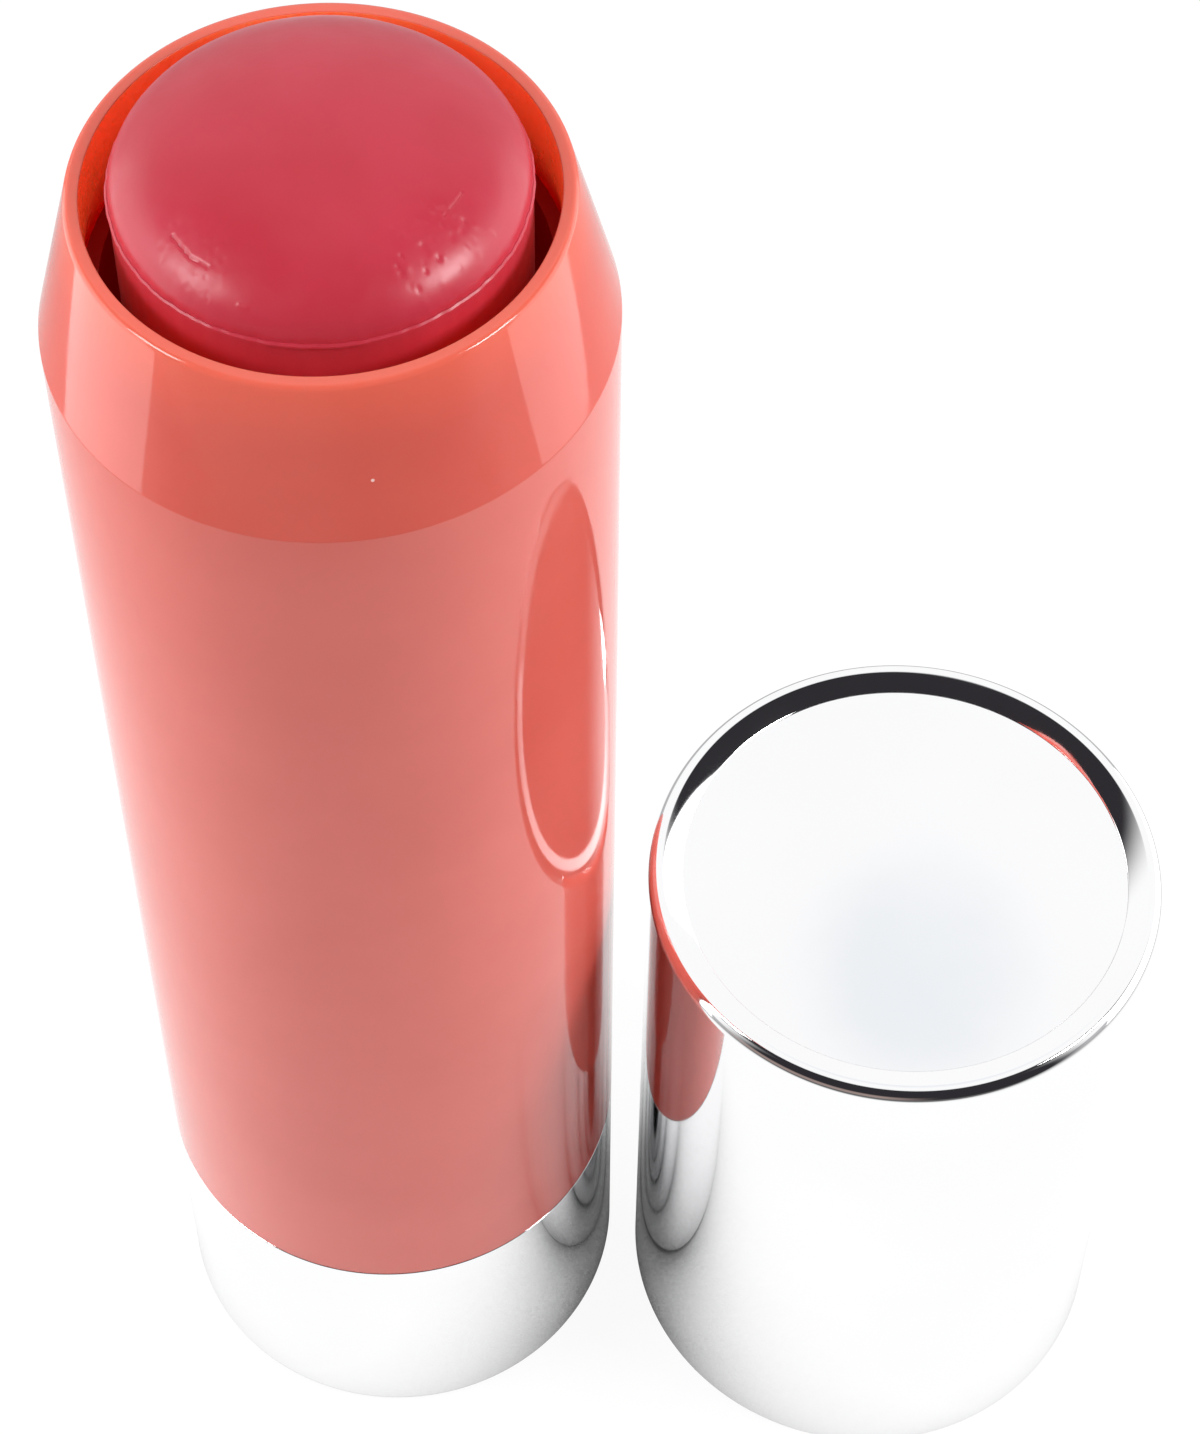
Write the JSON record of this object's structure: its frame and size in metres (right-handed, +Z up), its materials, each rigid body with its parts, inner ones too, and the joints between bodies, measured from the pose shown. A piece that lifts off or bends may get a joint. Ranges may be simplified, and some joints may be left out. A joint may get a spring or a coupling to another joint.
{
  "type": "twist-up blush stick",
  "caption": "Twist-up balm stick for the cheeks, wound down, with a coned barrel on a metal base and its round metal cap stood beside it.",
  "frame": {"origin": "middle of the stick's foot, on the surface that it stands on", "axes": "+Z up along the stick's axis, +X towards the cap that stands beside it"},
  "size_m": [0.0472, 0.024, 0.0844],
  "materials": {
    "bright_metal": "mirror polish",
    "plain_steel": "turned",
    "coral_plastic": "gloss moulded",
    "dark_red_plastic": "moulded",
    "cream_plastic": "moulded",
    "black_rubber": "moulded",
    "rose_balm": "satin wax"
  },
  "bodies": {
    "base": {"base_shell": "bright_metal", "base_core": "dark_red_plastic", "base_weight": "plain_steel", "guide_tube": "dark_red_plastic", "friction_ring": "black_rubber"},
    "barrel": {"barrel": "coral_plastic", "cam_sleeve": "cream_plastic"},
    "carrier": {"carrier_cup": "dark_red_plastic", "balm": "rose_balm"},
    "cap": {"cap_shell": "bright_metal", "cap_liner": "cream_plastic", "cap_disc": "bright_metal"}
  },
  "joints": [
    {"name": "barrel_twist", "type": "hinge", "parent": "base", "child": "barrel", "pos_m": [0, 0, 0], "axis": [0, 0, 1], "range_deg": [0, 540]},
    {"name": "carrier_rise", "type": "slide", "parent": "base", "child": "carrier", "axis": [0, 0, 1], "range_m": [0, 0.02251]},
    {"name": "cap_lift", "type": "slide", "parent": "base", "child": "cap", "axis": [0, 0, 1], "range_m": [0, 0.09]}
  ],
  "couplings": [
    {"joint": "carrier_rise", "follows": "barrel_twist", "m_per_rad": 0.0023873}
  ]
}
